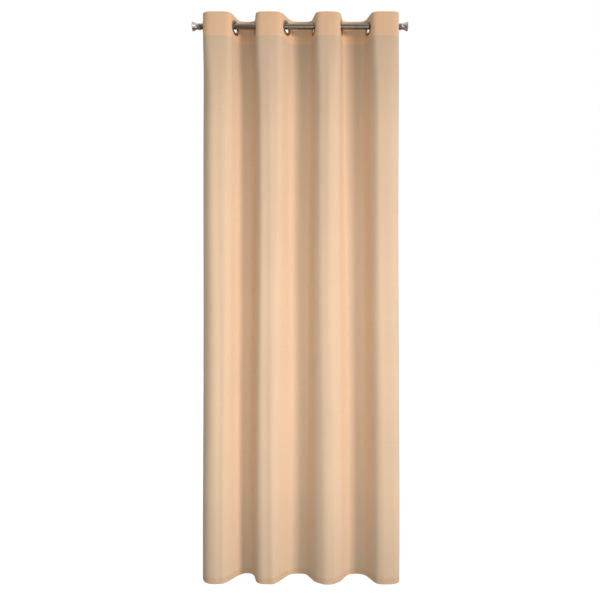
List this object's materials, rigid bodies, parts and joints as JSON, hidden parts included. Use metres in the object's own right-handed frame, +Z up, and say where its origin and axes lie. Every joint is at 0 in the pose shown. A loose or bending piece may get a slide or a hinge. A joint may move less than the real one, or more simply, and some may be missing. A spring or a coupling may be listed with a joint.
{
  "type": "eyelet curtain on a rod",
  "caption": "Full-length woven curtain hung by metal eyelets in deep soft folds from a round metal rod with trumpet finials and wall brackets; draws sideways along the rod.",
  "frame": {"origin": "on the wall plane, midway between the two bracket plates, at the height of the rod's axis", "axes": "+X along the rod to the viewer's right, -Y from the wall into the room, +Z up"},
  "size_m": [0.9608, 0.1455, 2.5342],
  "materials": {
    "curtain_cloth": "matt plain weave",
    "heading_tape": "stiff woven tape",
    "eyelet_metal": "dark polished nickel",
    "satin_nickel": "satin",
    "screw_steel": "zinc plated",
    "plug_plastic": "moulded"
  },
  "bodies": {
    "brackets": {"wall_plate_left": "satin_nickel", "bracket_arm_left": "satin_nickel", "arm_screw_left": "screw_steel", "rod_lock_screw_left": "screw_steel", "wall_plate_right": "satin_nickel", "bracket_arm_right": "satin_nickel", "arm_screw_right": "screw_steel", "rod_lock_screw_right": "screw_steel"},
    "rod": {"rod_tube": "satin_nickel"},
    "finial_left": {"finial_body_left": "satin_nickel", "finial_cap_left": "satin_nickel", "finial_plug_left": "plug_plastic", "finial_screw_left": "screw_steel"},
    "finial_right": {"finial_body_right": "satin_nickel", "finial_cap_right": "satin_nickel", "finial_plug_right": "plug_plastic", "finial_screw_right": "screw_steel"},
    "fold_8": {"curtain_panel_8": "curtain_cloth", "heading_tape_8": "heading_tape", "eyelet_front_8": "eyelet_metal", "eyelet_back_8": "eyelet_metal"},
    "fold_7": {"curtain_panel_7": "curtain_cloth", "heading_tape_7": "heading_tape", "eyelet_front_7": "eyelet_metal", "eyelet_back_7": "eyelet_metal"},
    "fold_6": {"curtain_panel_6": "curtain_cloth", "heading_tape_6": "heading_tape", "eyelet_front_6": "eyelet_metal", "eyelet_back_6": "eyelet_metal"},
    "fold_5": {"curtain_panel_5": "curtain_cloth", "heading_tape_5": "heading_tape", "eyelet_front_5": "eyelet_metal", "eyelet_back_5": "eyelet_metal"},
    "fold_4": {"curtain_panel_4": "curtain_cloth", "heading_tape_4": "heading_tape", "eyelet_front_4": "eyelet_metal", "eyelet_back_4": "eyelet_metal"},
    "fold_3": {"curtain_panel_3": "curtain_cloth", "heading_tape_3": "heading_tape", "eyelet_front_3": "eyelet_metal", "eyelet_back_3": "eyelet_metal"},
    "fold_2": {"curtain_panel_2": "curtain_cloth", "heading_tape_2": "heading_tape", "eyelet_front_2": "eyelet_metal", "eyelet_back_2": "eyelet_metal"},
    "fold_1": {"curtain_panel_1": "curtain_cloth", "heading_tape_1": "heading_tape", "eyelet_front_1": "eyelet_metal", "eyelet_back_1": "eyelet_metal"}
  },
  "joints": [
    {"name": "rod_lift", "type": "slide", "parent": "brackets", "child": "rod", "axis": [0, 0, 1], "range_m": [0, 0.04]},
    {"name": "finial_left_pull", "type": "slide", "parent": "rod", "child": "finial_left", "axis": [-1, 0, 0], "range_m": [0, 0.04]},
    {"name": "finial_right_pull", "type": "slide", "parent": "rod", "child": "finial_right", "axis": [1, 0, 0], "range_m": [0, 0.04]},
    {"name": "curtain_draw", "type": "hinge", "parent": "rod", "child": "fold_8", "pos_m": [0.4295, -0.1, 0], "axis": [0, 0, 1], "range_deg": [0, 35]},
    {"name": "crest_7", "type": "hinge", "parent": "fold_8", "child": "fold_7", "pos_m": [0.36707, -0.13853, 0], "axis": [0, 0, 1], "range_deg": [-70, 0]},
    {"name": "crest_6", "type": "hinge", "parent": "fold_7", "child": "fold_6", "pos_m": [0.24471, -0.06301, 0], "axis": [0, 0, 1], "range_deg": [0, 70]},
    {"name": "crest_5", "type": "hinge", "parent": "fold_6", "child": "fold_5", "pos_m": [0.12286, -0.13822, 0], "axis": [0, 0, 1], "range_deg": [-70, 0]},
    {"name": "crest_4", "type": "hinge", "parent": "fold_5", "child": "fold_4", "pos_m": [0.0005, -0.0627, 0], "axis": [0, 0, 1], "range_deg": [0, 70]},
    {"name": "crest_3", "type": "hinge", "parent": "fold_4", "child": "fold_3", "pos_m": [-0.12935, -0.14285, 0], "axis": [0, 0, 1], "range_deg": [-70, 0]},
    {"name": "crest_2", "type": "hinge", "parent": "fold_3", "child": "fold_2", "pos_m": [-0.24371, -0.07226, 0], "axis": [0, 0, 1], "range_deg": [0, 70]},
    {"name": "crest_1", "type": "hinge", "parent": "fold_2", "child": "fold_1", "pos_m": [-0.35833, -0.143, 0], "axis": [0, 0, 1], "range_deg": [-70, 0]}
  ],
  "couplings": [
    {"joint": "crest_7", "follows": "curtain_draw", "ratio": -2},
    {"joint": "crest_6", "follows": "curtain_draw", "ratio": 2},
    {"joint": "crest_5", "follows": "curtain_draw", "ratio": -2},
    {"joint": "crest_4", "follows": "curtain_draw", "ratio": 2},
    {"joint": "crest_3", "follows": "curtain_draw", "ratio": -2},
    {"joint": "crest_2", "follows": "curtain_draw", "ratio": 2},
    {"joint": "crest_1", "follows": "curtain_draw", "ratio": -2}
  ]
}
